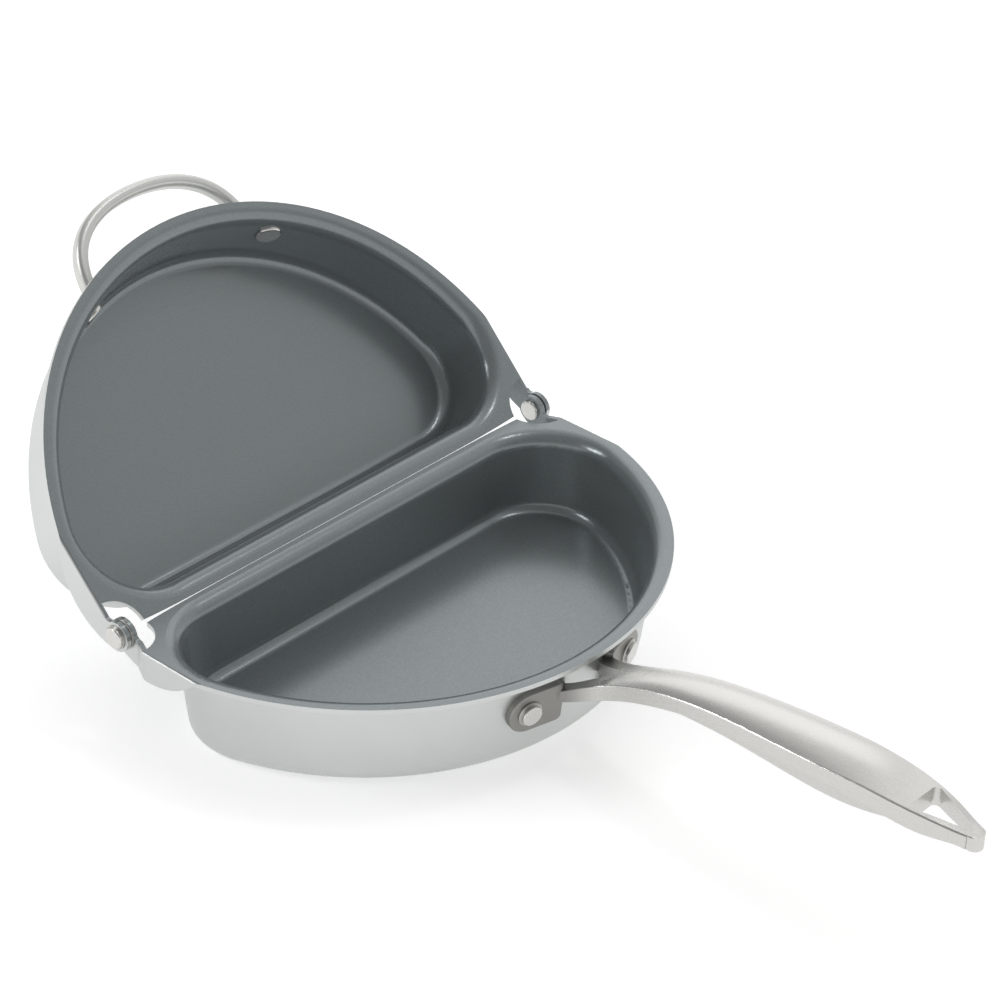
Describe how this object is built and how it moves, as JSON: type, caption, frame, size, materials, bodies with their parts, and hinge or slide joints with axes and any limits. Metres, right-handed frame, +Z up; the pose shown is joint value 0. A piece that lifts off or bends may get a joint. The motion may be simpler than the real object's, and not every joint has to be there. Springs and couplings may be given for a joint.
{
  "type": "double sided flip pan",
  "caption": "Two half-round pans hinged face to face along their straight sides, one with a long riveted handle, the other with a riveted loop handle.",
  "frame": {"origin": "middle of the lower pan's flat base, which stands on the surface", "axes": "+Z up, +X along the long handle, Y along the hinge; the upper pan stands open over -X"},
  "size_m": [0.432, 0.246, 0.1462],
  "materials": {
    "pan_aluminium": "satin outside, dark grey non-stick coat inside and on the rim",
    "handle_steel": "brushed cast stainless steel",
    "rivets": "bright",
    "rivet_washers": "bright",
    "hinge_washers": "satin"
  },
  "bodies": {
    "lower_half": {"lower_pan": "pan_aluminium", "long_handle": "handle_steel", "handle_rivet_left": "rivets", "handle_rivet_right": "rivets", "handle_rivet_washer_left": "rivet_washers", "handle_rivet_washer_right": "rivet_washers", "hinge_rivet_left": "rivets", "hinge_rivet_right": "rivets", "hinge_washer_left": "hinge_washers", "hinge_washer_right": "hinge_washers", "hinge_spacer_left": "hinge_washers", "hinge_spacer_right": "hinge_washers", "hinge_spring_left": "hinge_washers", "hinge_spring_right": "hinge_washers"},
    "upper_half": {"upper_pan": "pan_aluminium", "loop_handle": "handle_steel", "loop_rivet_left": "rivets", "loop_rivet_right": "rivets", "loop_rivet_washer_left": "rivet_washers", "loop_rivet_washer_right": "rivet_washers"}
  },
  "joints": [
    {"name": "hinge", "type": "hinge", "parent": "lower_half", "child": "upper_half", "pos_m": [-0.065, 0, 0.042], "axis": [0, 1, 0], "range_deg": [-45, 135]}
  ]
}
